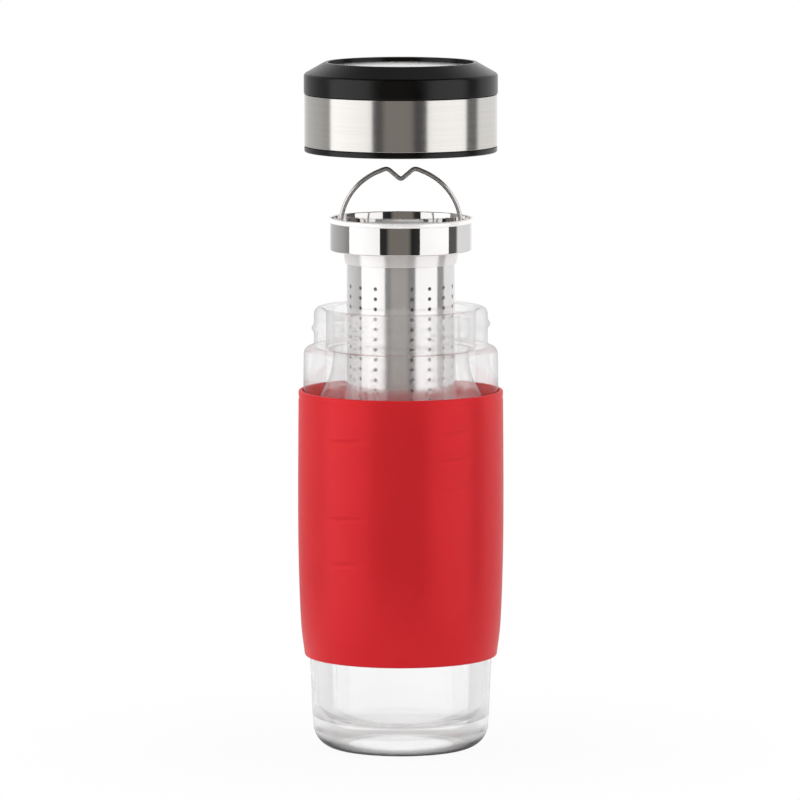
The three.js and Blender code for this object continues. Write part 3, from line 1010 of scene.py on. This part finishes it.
def make_floor():
    shell = Shell(-GAP)
    shell.turn([
        (GROUND_R, -GROUND_T),
        (GROUND_R, -GROUND_EDGE),
        (GROUND_R - GROUND_EDGE, 0),
        (0, 0),
    ], segments=GROUND_SIDES)
    floor = mesh_object("floor", shell)
    floor.data.materials.append(floor_material())


def make_light(name, span_deg):
    """A tall soft light that stands round the object between two bearings from the camera's side."""
    middle = math.radians(sum(span_deg) / 2)
    half = math.radians(abs(span_deg[1] - span_deg[0]) / 2)
    data = bpy.data.lights.new(name, "AREA")
    data.shape = "RECTANGLE"
    data.size = 2 * LIGHT_DISTANCE * math.tan(half)
    data.size_y = LIGHT_HEIGHT
    data.energy = LIGHT_RADIANCE * math.pi * data.size * data.size_y
    light = bpy.data.objects.new(name, data)
    bpy.context.scene.collection.objects.link(light)
    place = Vector((math.sin(middle), -math.cos(middle), 0)) * LIGHT_DISTANCE
    light.location = place + Vector((0, 0, LIGHT_MIDDLE_Z))
    light.rotation_mode = "QUATERNION"
    light.rotation_quaternion = place.to_track_quat("Z", "Y")
    light.visible_camera = False


def make_world():
    """White for the camera, with other images for mirrors, for views through glass and for soft light."""
    world = bpy.data.worlds.new("studio")
    bpy.context.scene.world = world
    world.use_nodes = True
    world.cycles.sampling_method = "NONE"
    tree = world.node_tree
    tree.nodes.clear()
    place = add(tree, "ShaderNodeTexCoord")
    axes = add(tree, "ShaderNodeSeparateXYZ", {0: place.outputs["Generated"]})
    toward = calculate(tree, "MULTIPLY", axes.outputs["Y"], -1.0)
    bearing = calculate(tree, "ARCTAN2", axes.outputs["X"], toward)
    share = map_range(tree, bearing, -math.pi, math.pi, 0.0, 1.0)

    def at(degrees, light, warm=0.0):
        return (0.5 + degrees / 360, (light, light * (1 - warm), light * (1 - 2 * warm), 1))

    mirrored = colours(
        tree, share,
        at(-180, 1.0), at(-150, 0.6), at(-110, 0.42), at(-94, 0.28), at(-40, 0.03), at(-24, 0.03),
        at(-18, 0.21, 0.09), at(12, 0.21, 0.09), at(18, 0.02), at(60, 0.08), at(102, 0.12), at(107, 0.9),
        at(150, 0.85), at(180, 1.0))
    high = map_range(tree, axes.outputs["Z"], MIRROR_FADE_LOW, MIRROR_FADE_HIGH, 1.0, MIRROR_HIGH_SHARE)
    through = colours(
        tree, share,
        at(-180, 1.0), at(-115, 1.0), at(-95, 0.96), at(95, 0.96), at(115, 1.0), at(180, 1.0))
    around = colours(
        tree, share,
        at(-180, 1.0), at(-110, 2.0), at(-40, 0.95), at(0, 0.5), at(40, 0.5), at(110, 1.6), at(180, 1.0))
    ray = add(tree, "ShaderNodeLightPath")
    lit = add(tree, "ShaderNodeBackground", {"Color": around, "Strength": 1.0})
    mirror = add(tree, "ShaderNodeBackground", {"Color": mirrored, "Strength": high})
    beyond = add(tree, "ShaderNodeBackground", {"Color": through, "Strength": 1.0})
    white = add(tree, "ShaderNodeBackground", {"Color": (1, 1, 1, 1), "Strength": 1.0})
    bounced = calculate(tree, "GREATER_THAN", ray.outputs["Glossy Depth"], 0.5)
    part = calculate(tree, "MULTIPLY", bounced, MIRROR_IN_GLASS)
    within = mix_shaders(tree, part, beyond, mirror)
    for fact, shown in (("Is Glossy Ray", mirror), ("Is Transmission Ray", within), ("Is Camera Ray", white)):
        lit = mix_shaders(tree, ray.outputs[fact], lit, shown)
    add(tree, "ShaderNodeOutputWorld", {"Surface": lit.outputs[0]})


def make_camera():
    data = bpy.data.cameras.new("camera")
    data.lens = CAMERA_LENS
    data.sensor_width = SENSOR
    camera = bpy.data.objects.new("camera", data)
    bpy.context.scene.collection.objects.link(camera)
    back = Vector((0, -math.sqrt(1 - CAMERA_RISE ** 2), CAMERA_RISE))
    camera.location = CAMERA_TARGET + CAMERA_DISTANCE * back
    camera.rotation_mode = "QUATERNION"
    camera.rotation_quaternion = back.to_track_quat("Z", "Y")
    bpy.context.scene.camera = camera


polished = polished_material("polished_steel", (222, 220, 219), 0.04, 0.07)
satin = polished_material("satin_steel", (226, 224, 223), 0.11, 0.15, 0.76)
dull = polished_material("dull_steel", (226, 224, 223), 0.14, 0.2, 0.5)
matt = polished_material("matt_steel", (242, 240, 239), 0.22, 0.3, 0.3)
wire = polished_material("wire_steel", (226, 223, 222), 0.2, 0.28, 0.9)
plastic = plastic_material()

add_piece("glass", make_glass(), "glass_body", "mug", glass_material())
red = silicone_material("red_silicone", SLEEVE_GLOW)
sleeve = add_piece("sleeve", make_sleeve(), "silicone_sleeve", "mug", red)
sleeve.data.materials.append(silicone_material("red_silicone_inside", SLEEVE_INSIDE_GLOW))
paint_sleeve_inside(sleeve)
collar = add_piece("collar", make_collar(), "infuser_collar", "infuser", polished)
collar.data.materials.append(dull)
collar.data.materials.append(matt)
paint_collar(collar)
tube_walls = (TUBE_R, TUBE_R - TUBE_T)
add_piece("tube", make_tube(), "infuser_tube", "infuser", satin, tube_walls)
add_piece("tube_base", make_base(), "infuser_base", "infuser", satin)
add_piece("bail", make_bail(), "bail_handle", "bail", wire)
add_piece("liner", make_liner(), "lid_liner", "lid", plastic)
add_piece("seal", make_seal(), "lid_seal", "lid_gasket", seal_material())
band_steel = brushed_material("brushed_band", (212, 209, 205), (0.4, 0.4, 60))
add_piece("band", make_band(), "lid_band", "lid", band_steel)
add_piece("cap", make_cap(), "lid_cap", "lid", plastic)
disc_steel = brushed_material("brushed_disc", (243, 241, 239), (0.5, 30, 0.5))
add_piece("disc", make_disc(), "lid_disc", "lid", disc_steel)

make_floor()
make_light("left_light", LEFT_LIGHT_DEG)
make_light("right_light", RIGHT_LIGHT_DEG)
make_world()
make_camera()
bpy.context.scene.view_settings.view_transform = "Standard"
